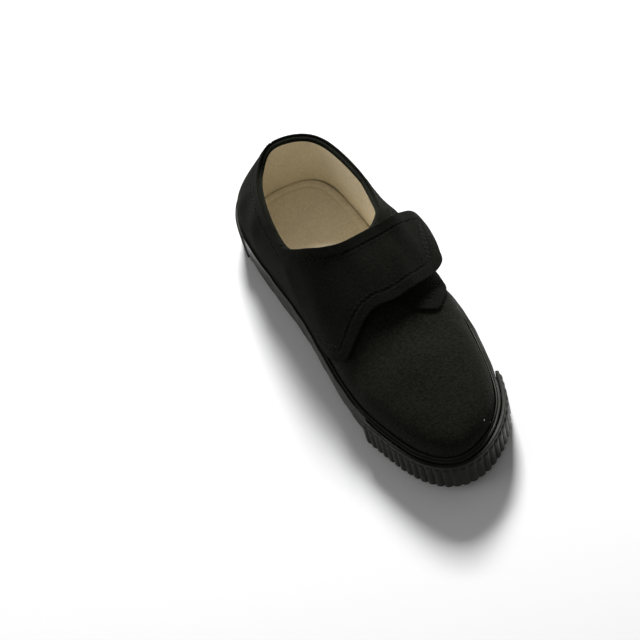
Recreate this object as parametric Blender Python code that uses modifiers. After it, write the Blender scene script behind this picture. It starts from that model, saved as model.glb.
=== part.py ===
"""Child's canvas plimsoll with a hook-and-loop strap, left shoe.

Run with: blender --background --python part.py
Metres, +Z up. The toe points to -Y and the lateral (outer) side is +X.

Every piece follows one surface, the outside of the lasted upper. A point on it has a station, from
0 at the heel's back to TIP at the toe, and an across value, from -1 at the medial foxing line over 0
at the ridge of the last to +1 at the lateral foxing line. Linings, overlays, rubber and soles are the
same surface or its plan outline, moved outwards or inwards by their own thicknesses.
"""
import math
from collections import namedtuple

import bmesh
import bpy
import numpy as np

MM = 0.001

# Last
LAST_LENGTH = 200.8 * MM
HEEL_WIDTH = 56.4 * MM
WAIST_WIDTH = 58.5 * MM
BALL_WIDTH = 66.9 * MM
CROWN_HEIGHT = 80 * MM
INSTEP_HEIGHT = 62 * MM
BALL_HEIGHT = 44.5 * MM
TOE_HEIGHT = 40.5 * MM
TOE_SPRING = 4.4 * MM
WAIST_ARCH = 1.0 * MM
# Where the sole is off the floor, as shares of LAST_LENGTH
ARCH_START = 0.30
ARCH_END = 0.56
SPRING_START = 0.66

# Collar, heights over the floor
COLLAR_BACK_HEIGHT = 52 * MM
COLLAR_SIDE_HEIGHT = 46.5 * MM

# Cloth
UPPER_WALL = 1.6 * MM
QUARTER_THICKNESS = 0.9 * MM
TAPE_THICKNESS = 1.1 * MM
STRAP_FLARE = 2.6 * MM

# Soles and rubber
OUTSOLE_THICKNESS = 5.0 * MM
INSOLE_THICKNESS = 3.0 * MM
FOXING_HEIGHT = 21.7 * MM
FOXING_THICKNESS = 2.5 * MM
FOXING_CLEARANCE = 0.7 * MM
LAP_STEP = 0.9 * MM
LAP_LENGTH = 24 * MM
LAP_GAP = 0.5 * MM
BUMPER_HEIGHT = 19.9 * MM
BUMPER_THICKNESS = 1.6 * MM
RIB_DEPTH = 1.2 * MM
RIB_PITCH = 4.0 * MM

# Fits
GAP = 0.3 * MM

# Mesh density
LOOP_COLUMNS = 92
UPPER_ROWS = 9
QUARTER_ROWS = 8
REAR_COLUMNS = 22
TAB_COLUMNS = 16
STRAP_COLUMNS = 34
SOLE_COLUMNS = 41
SOLE_ROWS = 4
TAPE_GRID = (7, 6)

# Station where the two quarters meet at the heel's back, just short of each other
HEEL_SEAM = 0.01
# Rows of the upper below the foxing line, as shares of the drop to its bottom edge
BAND_SHARES = (1.0, 0.6, 0.25)

# One row for each section of the last, from the heel to the toe. Side columns are given for the
# lateral and then the medial side. Plan places are shares of the width named in the row and of
# LAST_LENGTH, the ridge's height is a share of the height named in the row. Rise and crown are how
# far the section's curve keeps upright at the foxing and level at the ridge, and bulge is how far it
# leans out over the foxing.
Section = namedtuple("Section", (
    "name", "width", "height", "lateral", "lateral_at", "medial", "medial_at", "ridge", "ridge_at",
    "ridge_top", "lateral_rise", "lateral_crown", "lateral_bulge", "medial_rise", "medial_crown",
    "medial_bulge"))
LAST = (
    Section("heel back", HEEL_WIDTH, CROWN_HEIGHT, -0.046, 0.000, -0.046, 0.000, 0.11, 0.130, 0.97,
            0.45, 0.10, 0.00, 0.45, 0.10, 0.00),
    Section("heel corner", HEEL_WIDTH, CROWN_HEIGHT, 0.294, 0.027, -0.374, 0.023, 0.11, 0.150, 0.98,
            0.45, 0.36, 0.05, 0.42, 0.04, 0.00),
    Section("heel side", HEEL_WIDTH, CROWN_HEIGHT, 0.456, 0.121, -0.544, 0.121, 0.11, 0.210, 1.00,
            0.50, 0.74, 0.22, 0.42, 0.06, 0.00),
    Section("waist", WAIST_WIDTH, CROWN_HEIGHT, 0.470, 0.298, -0.530, 0.301, 0.08, 0.330, 0.96,
            0.60, 0.80, 0.34, 0.52, 0.36, 0.00),
    Section("instep", BALL_WIDTH, INSTEP_HEIGHT, 0.453, 0.478, -0.463, 0.483, 0.00, 0.475, 0.98,
            0.57, 0.75, 0.22, 0.55, 0.55, 0.02),
    Section("ball", BALL_WIDTH, BALL_HEIGHT, 0.499, 0.646, -0.498, 0.690, -0.04, 0.650, 1.02,
            0.50, 0.62, 0.05, 0.50, 0.52, 0.00),
    Section("tread", BALL_WIDTH, TOE_HEIGHT, 0.426, 0.810, -0.439, 0.823, -0.07, 0.760, 1.03,
            0.56, 0.62, 0.00, 0.56, 0.62, 0.00),
    Section("toe side", BALL_WIDTH, TOE_HEIGHT, 0.278, 0.936, -0.318, 0.942, -0.07, 0.836, 0.985,
            0.62, 0.66, 0.00, 0.62, 0.66, 0.00),
    Section("toe tip", BALL_WIDTH, TOE_HEIGHT, -0.057, 1.000, -0.057, 1.000, -0.065, 0.870, 0.96,
            0.66, 0.68, 0.00, 0.66, 0.68, 0.00),
)
TIP = len(LAST) - 1

# The collar's edge from the heel's back to the middle of its front, one table for each side. A row
# has either a height over the floor, as a share of the size named there, or its own across value.
CollarPoint = namedtuple("CollarPoint", "name station size share across")
COLLAR_LATERAL = (
    CollarPoint("back", 0.00, COLLAR_BACK_HEIGHT, 1.00, None),
    CollarPoint("corner", 1.05, COLLAR_BACK_HEIGHT, 0.97, None),
    CollarPoint("side", 1.95, COLLAR_SIDE_HEIGHT, 1.02, None),
    CollarPoint("waist", 2.65, COLLAR_SIDE_HEIGHT, 1.00, None),
    CollarPoint("dip", 3.15, COLLAR_SIDE_HEIGHT, 1.06, None),
    CollarPoint("front corner", 3.58, None, None, 0.44),
    CollarPoint("front side", 3.82, None, None, 0.18),
    CollarPoint("front", 3.88, None, None, 0.00),
)
COLLAR_MEDIAL = (
    CollarPoint("corner", 1.00, COLLAR_BACK_HEIGHT, 0.98, None),
    CollarPoint("side", 1.80, COLLAR_BACK_HEIGHT, 0.97, None),
    CollarPoint("waist", 2.50, COLLAR_BACK_HEIGHT, 0.98, None),
    CollarPoint("front corner", 3.10, None, None, -0.64),
    CollarPoint("front edge", 3.46, None, None, -0.47),
    CollarPoint("front side", 3.76, None, None, -0.22),
)

# The free part of each quarter, in front of the collar: the lower edge, away from the collar, and the
# upper edge, rung by rung. The medial one runs over the ridge as the strap, the lateral one is the tab.
Rung = namedtuple("Rung", "name lower_station lower_across upper_station upper_across")
STRAP = (
    Rung("flap root", 4.20, -0.980, 3.06, -0.655),
    Rung("flap foot", 4.46, -0.900, 3.24, -0.585),
    Rung("flap heel", 4.70, -0.770, 3.38, -0.510),
    Rung("flap corner", 4.88, -0.620, 3.50, -0.420),
    Rung("flap front", 4.91, -0.460, 3.62, -0.320),
    Rung("flap neck", 4.84, -0.240, 3.73, -0.200),
    Rung("strap bend", 4.76, -0.060, 3.81, -0.060),
    Rung("ridge", 4.79, 0.080, 3.83, 0.080),
    Rung("over the tab", 4.77, 0.220, 3.80, 0.240),
    Rung("tape start", 4.71, 0.380, 3.74, 0.400),
    Rung("tape end", 4.63, 0.540, 3.67, 0.560),
    Rung("end corner", 4.48, 0.700, 3.66, 0.720),
    Rung("end", 4.32, 0.775, 3.80, 0.800),
)
TAB = (
    Rung("root", 4.20, 0.970, 3.50, 0.500),
    Rung("foot", 4.52, 0.880, 3.60, 0.430),
    Rung("heel", 4.80, 0.720, 3.72, 0.370),
    Rung("side", 4.98, 0.560, 3.84, 0.310),
    Rung("corner", 5.11, 0.440, 3.96, 0.240),
    Rung("front", 5.03, 0.270, 4.10, 0.170),
    Rung("tip", 4.88, 0.170, 4.24, 0.120),
    Rung("end", 4.70, 0.100, 4.38, 0.090),
)
# Hook and loop pads between the tab and the strap's end: station and across of two opposite corners
TAPE = ((3.92, 0.34), (4.46, 0.58))
# How far the strap's underside stands off the last at places across the foot
LOW_STAND = GAP
TAB_STAND = GAP + QUARTER_THICKNESS + GAP
TAPE_STAND = TAB_STAND + 2 * (TAPE_THICKNESS + GAP)
STRAP_STAND = ((-1.0, LOW_STAND), (-0.16, LOW_STAND), (0.04, TAB_STAND), (0.14, TAB_STAND),
               (0.30, TAPE_STAND), (0.60, TAPE_STAND), (0.80, TAPE_STAND + STRAP_FLARE))

# Foxing's section: share of its thickness outwards and of its height upwards
FOXING_SECTION = ((0.0, 0.0), (0.82, 0.0), (1.0, 0.05), (1.0, 0.93), (0.86, 0.965), (0.50, 0.965),
                  (0.42, 1.0), (0.08, 1.0), (0.0, 0.975))
LAP_STATION = 13.95
# Bumper's section: outwards as a share of its thickness, upwards of its height, share of the rib depth
BUMPER_SECTION = ((0.0, 0.0, 0.0), (0.8, 0.0, 0.0), (1.0, 0.03, 1.0), (1.0, 0.80, 1.0), (1.0, 0.86, 0.0),
                  (1.15, 0.94, 0.0), (0.8, 1.0, 0.0), (0.0, 1.0, 0.0))
BUMPER_LATERAL_END = 6.19
BUMPER_MEDIAL_END = 10.47

CANVAS = ("canvas", (0.0060, 0.0064, 0.0052), 0.95)
LINING = ("cotton_lining", (0.0062, 0.0066, 0.0054), 0.95)
TAPE_CLOTH = ("hook_and_loop_tape", (0.004, 0.004, 0.004), 0.9)
RUBBER = ("vulcanised_rubber", (0.010, 0.010, 0.009), 0.42)
SOLE_RUBBER = ("sole_rubber", (0.012, 0.012, 0.011), 0.6)
FOOTBED = ("footbed_cotton", (0.55, 0.44, 0.30), 0.9)


def spline(rows, closed=False):
    """Smooth cubic through rows one unit apart; returns the function of the row number."""
    rows = np.asarray(rows, float)
    count = len(rows)
    matrix = 4 * np.eye(count) + np.eye(count, k=1) + np.eye(count, k=-1)
    if closed:
        matrix[0, -1] = matrix[-1, 0] = 1
        steps = 3 * (np.roll(rows, -1, 0) - np.roll(rows, 1, 0))
    else:
        matrix[0, 0] = matrix[-1, -1] = 2
        steps = 3 * np.concatenate([rows[1:2] - rows[:1], rows[2:] - rows[:-2], rows[-1:] - rows[-2:-1]])
    slopes = np.linalg.solve(matrix, steps)

    def at(place):
        place = np.asarray(place, float)
        first = np.floor(place).astype(int)
        first = first % count if closed else np.clip(first, 0, count - 2)
        part = (place - np.floor(place) if closed else place - first)[..., None]
        following = (first + 1) % count
        return ((2 * part + 1) * (1 - part) ** 2 * rows[first] + part * (1 - part) ** 2 * slopes[first]
                + part ** 2 * (3 - 2 * part) * rows[following] + part ** 2 * (part - 1) * slopes[following])
    return at


def around(lateral, medial):
    """Closed spline round the shoe: lateral rows from heel to toe, medial rows back to the heel."""
    return spline(lateral + medial[-2:0:-1], closed=True)


OUTLINE = around([(s.lateral * s.width, s.lateral_at * LAST_LENGTH) for s in LAST],
                 [(s.medial * s.width, s.medial_at * LAST_LENGTH) for s in LAST])
RIDGE = around(*[[(s.ridge * s.width, s.ridge_at * LAST_LENGTH, s.ridge_top * s.height) for s in LAST]] * 2)
SHAPE = around([(s.lateral_rise, s.lateral_crown, s.lateral_bulge) for s in LAST],
               [(s.medial_rise, s.medial_crown, s.medial_bulge) for s in LAST])


def ground(along):
    """Height of the sole's underside over the floor: a low arch at the waist and the toe spring."""
    share = along / LAST_LENGTH
    arch = np.clip((share - ARCH_START) / (ARCH_END - ARCH_START), 0, 1)
    toe = np.clip((share - SPRING_START) / (1 - SPRING_START), 0, 1)
    return WAIST_ARCH * np.sin(math.pi * arch) ** 2 + TOE_SPRING * toe ** 2


def to_world(x, along, z):
    """Shoe coordinates to the world's: the toe points to -Y."""
    return np.stack([x, LAST_LENGTH / 2 - along, z], -1)


def loop_place(station, across):
    """Place in the closed loop of a station on the side that across names, and the rise to the ridge."""
    return np.where(across >= 0, station, 2 * TIP - station), 1 - np.abs(across)


def ridge_slope(place):
    """Slope of the ridge along the foot, which the sections keep where they meet it."""
    step = 0.002
    inside = np.clip(np.where(place <= TIP, place, 2 * TIP - place), step, TIP - step)
    fall = RIDGE(inside + step) - RIDGE(inside - step)
    return fall[..., 2] / fall[..., 1]


def last_point(station, across):
    """Point of the last: a cubic from the foxing line, upright there, to the ridge, level there."""
    station, across = np.broadcast_arrays(np.asarray(station, float), np.asarray(across, float))
    crossed = (station < 0) | (station > TIP)
    station = np.where(station > TIP, 2 * TIP - station, np.abs(station))
    across = np.where(crossed, -across, across)
    place, rise = loop_place(station, across)
    foot, ridge, shape = OUTLINE(place), RIDGE(place), SHAPE(place)
    inward = ridge[..., :2] - foot
    base = foot_height(foot[..., 1])
    top = ridge[..., 2]
    low = base + shape[..., 0] * (top - base)
    high = top - ridge_slope(place) * inward[..., 1] * shape[..., 1]
    # Bernstein weights of the four control points
    a, b, c, d = (1 - rise) ** 3, 3 * rise * (1 - rise) ** 2, 3 * rise ** 2 * (1 - rise), rise ** 3
    plan = foot + inward * (c * (1 - shape[..., 1]) + d - b * shape[..., 2])[..., None]
    return to_world(plan[..., 0], plan[..., 1], a * base + b * low + c * high + d * top)


def foot_height(along):
    """Height of the foxing line."""
    return FOXING_HEIGHT + ground(along)


def outward(station, across):
    """Unit normal of the last, from small steps both ways."""
    step = 0.004
    station, across = np.broadcast_arrays(np.asarray(station, float), np.asarray(across, float))
    # the ridge's own end is a pole, so the normal is taken just beside it
    beside = np.where(np.abs(across) < 0.03, np.where(across < 0, -0.03, 0.03), across)
    along = last_point(station + step, beside) - last_point(station - step, beside)
    higher, lower = [last_point(station, np.clip(beside + change, -1, 1)) for change in (step, -step)]
    normal = np.cross(along, higher - lower)
    return normal / np.linalg.norm(normal, axis=-1, keepdims=True)


def skin(station, across, out=0.0):
    """Point at a distance outside the last."""
    return last_point(station, across) + outward(station, across) * np.asarray(out, float)[..., None]


def rim_normal(places):
    """Plan normals of the outline, pointing outwards."""
    step = 0.004
    side = OUTLINE(places + step) - OUTLINE(places - step)
    return np.stack([side[:, 1], -side[:, 0]], 1) / np.linalg.norm(side, axis=1, keepdims=True)


def rim_places(count, out, start, end):
    """Loop places evenly spaced along the outline moved outwards, and that line's length."""
    fine = np.linspace(start, end, 1200)
    moved = OUTLINE(fine) + rim_normal(fine) * out
    run = np.concatenate([[0], np.cumsum(np.linalg.norm(np.diff(moved, axis=0), axis=1))])
    return np.interp(np.linspace(0, run[-1], count), run, fine), run[-1]


def even_stations(count):
    """Stations from heel to toe, evenly spaced along the mean of the two sides of the outline."""
    fine = np.linspace(0, TIP, 600)
    steps = [np.linalg.norm(np.diff(OUTLINE(places), axis=0), axis=1) for places in (fine, 2 * TIP - fine)]
    run = np.concatenate([[0], np.cumsum(sum(steps))])
    return np.interp(np.linspace(0, run[-1], count), run, fine)


def rim_rings(places, section, top, base):
    """Rings of a rubber strip: a section of outward and upward distances carried along the outline."""
    foot, normal = OUTLINE(places), rim_normal(places)
    rings = []
    for out, up in section:
        plan = foot + normal * (base + out)[:, None]
        rings.append(to_world(plan[:, 0], plan[:, 1], ground(foot[:, 1]) + FOXING_CLEARANCE + up * top))
    return np.array(rings)


def across_at(station, side, height):
    """Across value where the last is at a height over the floor, by halving."""
    low, high = 0.0, 1.0
    for _ in range(40):
        middle = (low + high) / 2
        if last_point(station, side * middle)[2] > height:
            low = middle
        else:
            high = middle
    return side * low


def collar_knots():
    """Station and across of the collar's table rows, from the back round the lateral side to the back."""
    def knot(row, side):
        across = row.across if row.size is None else across_at(row.station, side, row.size * row.share)
        return row.station, across
    lateral = [knot(row, 1) for row in COLLAR_LATERAL]
    medial = [knot(row, -1) for row in COLLAR_MEDIAL]
    return lateral, medial


def collar_curves():
    """Functions of a share from the back (0) to the front's middle (1), for the lateral and medial side."""
    lateral, medial = collar_knots()
    back = lateral[0]
    # the curve runs on past the heel's back into the other side, so that it is smooth there
    path = [(-medial[0][0], -medial[0][1])] + lateral + medial[::-1] + [(back[0], -back[1])]
    path.append((-lateral[1][0], -lateral[1][1]))
    curve = spline(path)
    front, end = len(lateral), len(lateral) + len(medial) + 1

    def half(start, stop):
        fine = curve(np.linspace(start, stop, 400))
        run = arc_length(fine)
        return lambda share: np.stack([np.interp(np.asarray(share) * run[-1], run, column)
                                       for column in fine.T], -1)
    return half(1, front), half(end, front)


def arc_length(places):
    """Running real length along a line of (station, across) places."""
    points = last_point(places[:, 0], places[:, 1])
    return np.concatenate([[0], np.cumsum(np.linalg.norm(np.diff(points, axis=0), axis=1))])


COLLAR = dict(zip(("lateral", "medial"), collar_curves()))


def material(name, colour, roughness):
    made = bpy.data.materials.get(name) or bpy.data.materials.new(name)
    made.use_nodes = True
    shader = made.node_tree.nodes["Principled BSDF"]
    shader.inputs["Base Color"].default_value = (*colour, 1.0)
    shader.inputs["Roughness"].default_value = roughness
    shader.inputs["Metallic"].default_value = 0.0
    return made


def grid_faces(rows, columns, closed):
    """Quads of a grid whose rows are rings or strips."""
    last = columns if closed else columns - 1
    return [(r * columns + c, r * columns + (c + 1) % columns, (r + 1) * columns + (c + 1) % columns,
             (r + 1) * columns + c) for r in range(rows - 1) for c in range(last)]


def add_object(name, points, faces, finish):
    """Object from points and faces, with doubles welded and its faces turned outwards if it is closed."""
    mesh = bpy.data.meshes.new(name)
    mesh.from_pydata([tuple(p) for p in points], [], faces)
    work = bmesh.new()
    work.from_mesh(mesh)
    bmesh.ops.remove_doubles(work, verts=work.verts, dist=1e-6)
    bmesh.ops.dissolve_degenerate(work, edges=work.edges, dist=1e-7)
    if all(edge.is_manifold for edge in work.edges):
        bmesh.ops.recalc_face_normals(work, faces=work.faces)
    work.to_mesh(mesh)
    work.free()
    mesh.shade_smooth()
    mesh.set_sharp_from_angle(angle=math.radians(35))
    mesh.materials.append(material(*finish))
    made = bpy.data.objects.new(name, mesh)
    shoe.objects.link(made)
    made.parent = stand
    return made


def thicken(made, thickness, offset):
    """Wall for an open surface: offset 1 grows outwards from it, -1 inwards."""
    wall = made.modifiers.new("Wall", "SOLIDIFY")
    wall.thickness = thickness
    wall.offset = offset


def upper():
    """Vamp and linings in one: upright below the foxing line, over the last above it, collar open."""
    one_side = even_stations(LOOP_COLUMNS // 2 + 1)
    station = np.concatenate([one_side, one_side[-2:0:-1]])
    medial = np.arange(len(station)) >= len(one_side)
    front = float(COLLAR["lateral"](1.0)[0])
    rear = station < front
    edge = np.where(medial[:, None], COLLAR["medial"](station / front), COLLAR["lateral"](station / front))
    ridge = np.stack([np.clip(station, front, TIP), np.zeros_like(station)], -1)
    top = np.where(rear[:, None], edge, ridge)
    foot = np.stack([station, np.where(medial, -1.0, 1.0)], -1)
    share = np.linspace(0, 1, UPPER_ROWS + 1)[:, None, None]
    mesh_lines = foot + (top - foot) * share
    body = last_point(mesh_lines[..., 0], mesh_lines[..., 1])
    band = np.repeat(body[:1], len(BAND_SHARES), axis=0)
    band[..., 2] -= (FOXING_HEIGHT - OUTSOLE_THICKNESS - GAP) * np.array(BAND_SHARES)[:, None]
    rows = np.concatenate([band, body])
    faces = [face[::-1] for face in grid_faces(len(rows), len(station), True)]
    made = add_object("upper", rows.reshape(-1, 3), faces, LINING)
    thicken(made, UPPER_WALL, -1)


def seat_above_foxing(station, side):
    """Across value two gaps above the foxing's top edge, because the cloth leans out over it."""
    return across_at(station, side, float(last_point(station, side)[2]) + 2 * GAP)


def band_grid(side, rungs, front_columns):
    """Station and across of a quarter's mesh lines: the rear from foxing to collar, then the rungs."""
    word = "lateral" if side > 0 else "medial"
    root = rungs[0]
    share = np.linspace(0, 1, REAR_COLUMNS)
    station = HEEL_SEAM + (root.lower_station - HEEL_SEAM) * share
    lower = np.stack([station, [seat_above_foxing(s, side) for s in station]], -1)
    lower[-1, 1] = root.lower_across
    fine = COLLAR[word](np.linspace(0, 1, 400))
    stop = np.argmin(np.hypot(fine[:, 0] - root.upper_station, fine[:, 1] - root.upper_across)) / 399
    upper_edge = COLLAR[word](share * stop)
    upper_edge[0, 0] = HEEL_SEAM
    rung_share = np.linspace(0, len(rungs) - 1, front_columns)[1:]
    table = spline([row[1:] for row in rungs])(rung_share)
    lower = np.concatenate([lower, table[:, :2]])
    upper_edge = np.concatenate([upper_edge, table[:, 2:]])
    row = np.linspace(0, 1, QUARTER_ROWS + 1)[:, None, None]
    return lower + (upper_edge - lower) * row


def quarter(name, side, rungs, front_columns, stand_off):
    """Quarter laid over the upper, with its free part in front of the collar."""
    places = band_grid(side, rungs, front_columns)
    points = skin(places[..., 0], places[..., 1], stand_off(places))
    faces = grid_faces(points.shape[0], points.shape[1], False)
    if side > 0:
        faces = [face[::-1] for face in faces]
    made = add_object(name, points.reshape(-1, 3), faces, CANVAS)
    thicken(made, QUARTER_THICKNESS, 1)


def strap_stand(places):
    """Stand-off of the strap's underside, eased between the places in the table."""
    across = places[..., 1]
    out = np.full(across.shape, STRAP_STAND[0][1])
    for (start, low), (stop, high) in zip(STRAP_STAND, STRAP_STAND[1:]):
        share = np.clip((across - start) / (stop - start), 0, 1)
        out = out + (high - low) * share ** 2 * (3 - 2 * share)
    return out


def tape(name, out):
    """One pad of the hook and loop fastening."""
    (first, inner), (second, outer) = TAPE
    rows, columns = TAPE_GRID
    station, across = np.meshgrid(
        np.linspace(first, second, rows), np.linspace(inner, outer, columns), indexing="ij")
    points = skin(station, across, np.full(station.shape, out))
    faces = [face[::-1] for face in grid_faces(rows, columns, False)]
    made = add_object(name, points.reshape(-1, 3), faces, TAPE_CLOTH)
    thicken(made, TAPE_THICKNESS, 1)


def slab(name, inset, bottom, thickness, finish):
    """Sheet of sole inside the outline, its underside at a height over the ground line."""
    stations = even_stations(SOLE_COLUMNS)
    lateral, medial = [OUTLINE(places) - rim_normal(places) * inset
                       for places in (stations, 2 * TIP - stations)]
    share = np.linspace(0, 1, SOLE_ROWS + 1)[:, None, None]
    rows = medial + (lateral - medial) * share
    points = to_world(rows[..., 0], rows[..., 1], ground(rows[..., 1]) + bottom)
    made = add_object(name, points.reshape(-1, 3), grid_faces(SOLE_ROWS + 1, SOLE_COLUMNS, False), finish)
    thicken(made, thickness, 1)


def ring_faces(count, columns, closed):
    """Faces round a strip's section, with end caps where the strip is open."""
    faces = []
    for row in range(count):
        low, high = row * columns, (row + 1) % count * columns
        for column in range(columns if closed else columns - 1):
            following = (column + 1) % columns
            faces.append([low + column, low + following, high + following, high + column])
    if not closed:
        faces += [[r * columns + c for r in range(count)] for c in (0, columns - 1)]
    return faces


def foxing():
    """Rubber band round the shoe; its end stands proud where it laps over its start at the heel."""
    places, length = rim_places(LOOP_COLUMNS + 1, GAP, LAP_STATION, LAP_STATION + 2 * TIP)
    # the last column stands just short of the first, so that the lap is a step
    places[-1] = places[0] + (places[-1] - places[0]) * (1 - LAP_GAP / length)
    run = np.linspace(0, length, len(places))
    thickness = FOXING_THICKNESS + LAP_STEP * np.clip(1 - run / LAP_LENGTH, 0, 1) ** 2
    section = [(out * thickness, up) for out, up in FOXING_SECTION]
    rings = rim_rings(places, section, FOXING_HEIGHT - FOXING_CLEARANCE, GAP)
    add_object("foxing", rings.reshape(-1, 3), ring_faces(len(rings), len(places), True), RUBBER)


def toe_bumper():
    """Ribbed strip round the toe, laid on the foxing, with square-cut ends."""
    base = 2 * GAP + FOXING_THICKNESS
    _, length = rim_places(2, base, BUMPER_LATERAL_END, BUMPER_MEDIAL_END)
    ribs = max(1, round(length / RIB_PITCH))
    # a groove and the two edges of a crest for each rib, and a last groove
    places, _ = rim_places(3 * ribs + 1, base, BUMPER_LATERAL_END, BUMPER_MEDIAL_END)
    crest = np.where(np.arange(len(places)) % 3 == 0, 0.0, RIB_DEPTH)
    section = [(out * BUMPER_THICKNESS + ribbed * crest, up) for out, up, ribbed in BUMPER_SECTION]
    rings = rim_rings(places, section, BUMPER_HEIGHT - FOXING_CLEARANCE, base)
    add_object("toe_bumper", rings.reshape(-1, 3), ring_faces(len(rings), len(places), False), RUBBER)


def centre_on_floor():
    """Moves the shoe so that its bounding box stands centred over the origin."""
    shadow = bpy.context.evaluated_depsgraph_get()
    points = []
    for made in shoe.objects:
        if made.type == "MESH":
            mesh = made.evaluated_get(shadow).to_mesh()
            points += [vertex.co[:] for vertex in mesh.vertices]
    points = np.array(points)
    low, high = points.min(0), points.max(0)
    stand.location = (-(low[0] + high[0]) / 2, -(low[1] + high[1]) / 2, -low[2])


for old in list(bpy.data.objects):
    bpy.data.objects.remove(old)
shoe = bpy.data.collections.new("plimsoll")
bpy.context.scene.collection.children.link(shoe)
stand = bpy.data.objects.new("stand", None)
shoe.objects.link(stand)

slab("outsole", 0.0, 0.0, OUTSOLE_THICKNESS, SOLE_RUBBER)
slab("insole", UPPER_WALL + GAP, OUTSOLE_THICKNESS + GAP, INSOLE_THICKNESS, FOOTBED)
upper()
quarter("lateral_quarter", 1, TAB, TAB_COLUMNS, lambda places: np.full(places.shape[:-1], GAP))
tape("loop_tape", TAB_STAND)
tape("hook_tape", TAB_STAND + TAPE_THICKNESS + GAP)
quarter("medial_quarter_strap", -1, STRAP, STRAP_COLUMNS, strap_stand)
foxing()
toe_bumper()
centre_on_floor()
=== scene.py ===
"""Looks of a child's canvas plimsoll with a hook-and-loop strap, left shoe.

Laid out as a Blender add-on and run as a script. Metres, +Z up, toe to -Y, lateral side +X.
Every piece follows the surface of the last. A place on it has a station, 0 at the heel's back to TIP
at the toe, and an across value, -1 at the medial foxing line over 0 at the ridge to +1 at the lateral
foxing line.
"""
import math
from collections import namedtuple

import bmesh
import bpy
import numpy as np
from bpy.props import FloatProperty, FloatVectorProperty, PointerProperty
from bpy.types import Operator, Panel, PropertyGroup
from mathutils import Matrix, Vector


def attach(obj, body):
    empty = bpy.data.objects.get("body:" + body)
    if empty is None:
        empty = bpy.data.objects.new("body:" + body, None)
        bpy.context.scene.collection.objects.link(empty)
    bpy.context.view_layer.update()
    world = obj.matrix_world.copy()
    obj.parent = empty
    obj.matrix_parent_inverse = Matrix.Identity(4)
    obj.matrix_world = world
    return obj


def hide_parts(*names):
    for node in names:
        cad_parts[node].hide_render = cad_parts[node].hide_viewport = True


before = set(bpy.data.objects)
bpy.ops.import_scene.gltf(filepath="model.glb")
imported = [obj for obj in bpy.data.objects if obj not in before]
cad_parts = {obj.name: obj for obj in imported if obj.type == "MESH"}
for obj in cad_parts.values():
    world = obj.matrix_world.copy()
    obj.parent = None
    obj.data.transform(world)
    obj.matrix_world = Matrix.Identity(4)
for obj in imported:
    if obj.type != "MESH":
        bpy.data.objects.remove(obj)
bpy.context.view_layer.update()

bl_info = {
    "name": "Canvas plimsoll looks",
    "version": (1, 0, 0),
    "blender": (4, 5, 0),
    "location": "View3D > Sidebar > Plimsoll",
    "description": "Canvas, rubber, linings and stitching of a strapped plimsoll",
    "category": "Object",
}

MM = 0.001

# Last, as in the part's source
LAST_LENGTH = 200.8 * MM
HEEL_WIDTH = 56.4 * MM
WAIST_WIDTH = 58.5 * MM
BALL_WIDTH = 66.9 * MM
CROWN_HEIGHT = 80 * MM
INSTEP_HEIGHT = 62 * MM
BALL_HEIGHT = 44.5 * MM
TOE_HEIGHT = 40.5 * MM
TOE_SPRING = 4.4 * MM
WAIST_ARCH = 1.0 * MM
ARCH_START = 0.30
ARCH_END = 0.56
SPRING_START = 0.66
COLLAR_BACK_HEIGHT = 52 * MM
COLLAR_SIDE_HEIGHT = 46.5 * MM
# Where the last's middle stands in the frame
ORIGIN_X = -1.1823 * MM
ORIGIN_Y = 1.5639 * MM

# Cloth, soles and rubber
CANVAS_THICKNESS = 0.8 * MM
UPPER_WALL = 1.6 * MM
QUARTER_THICKNESS = 1.1 * MM
TAPE_THICKNESS = 1.1 * MM
STRAP_FLARE = 7.8 * MM
STRAP_BRIDGE = 3.0 * MM
FLAP_CURL = 0.9 * MM
RIM_ROLL = 2.4 * MM
RIM_TURN = 1.9 * MM
OUTSOLE_THICKNESS = 5.0 * MM
INSOLE_THICKNESS = 3.0 * MM
FOXING_HEIGHT = 21.7 * MM
FOXING_THICKNESS = 2.5 * MM
FOXING_CLEARANCE = 0.7 * MM
LAP_STEP = 0.9 * MM
LAP_LENGTH = 24 * MM
LAP_GAP = 0.5 * MM
LAP_STATION = 13.95
BUMPER_HEIGHT = 19.9 * MM
BUMPER_THICKNESS = 1.6 * MM
BUMPER_LATERAL_END = 6.19
BUMPER_MEDIAL_END = 10.47
RIB_DEPTH = 1.2 * MM
RIB_PITCH = 4.0 * MM
GAP = 0.3 * MM
SEAT = 0.1 * MM
# Station of the quarters' back edges, beside the seam at the heel
HEEL_SEAM = 0.012
# Thin space between the canvas and its lining
LAYER_GAP = 0.02 * MM
# How far the quarters settle: the medial side leans in, the lateral edge falls in over a belly
MEDIAL_LEAN = 3.8 * MM
LATERAL_SAG = 3.3 * MM
LATERAL_BELLY = 2.4 * MM
# Distance between the two rows of stitches along the strap's lower edge
HEM_ROW_GAP = 1.6 * MM
LINT_RADIUS = 0.28 * MM
SOLE_EDGE = 0.6 * MM
TREAD_PITCH = 5.2 * MM
TREAD_DEPTH = 0.7 * MM
TREAD_MARGIN = 5 * MM
# Sideways share of the tread's waves, and the share of a wave that is groove
TREAD_SLANT = 0.62
TREAD_GROOVE = 0.36
FOOTBED_CLEARANCE = 0.05 * MM
FOOTBED_SEAM = 4.5 * MM
FOOTBED_FURROW = 0.35 * MM
FOOTBED_FURROW_WIDTH = 0.6 * MM
FOOTBED_SOFTNESS = 0.12 * MM
# Relief of the cloth: slack waves, and the hem's raised band, furrow, short puckers and long puckers
SLACK = 0.10 * MM
HEM_BAND = 0.25 * MM
STITCH_FURROW = 0.45 * MM
STITCH_PUCKER = 0.05 * MM
HEM_PUCKER = 0.10 * MM
# The turned rim thins out over the ease, and the lining goes up under it by the tuck
RIM_EASE = 0.4 * MM
LINING_TUCK = 0.5 * MM
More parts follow.
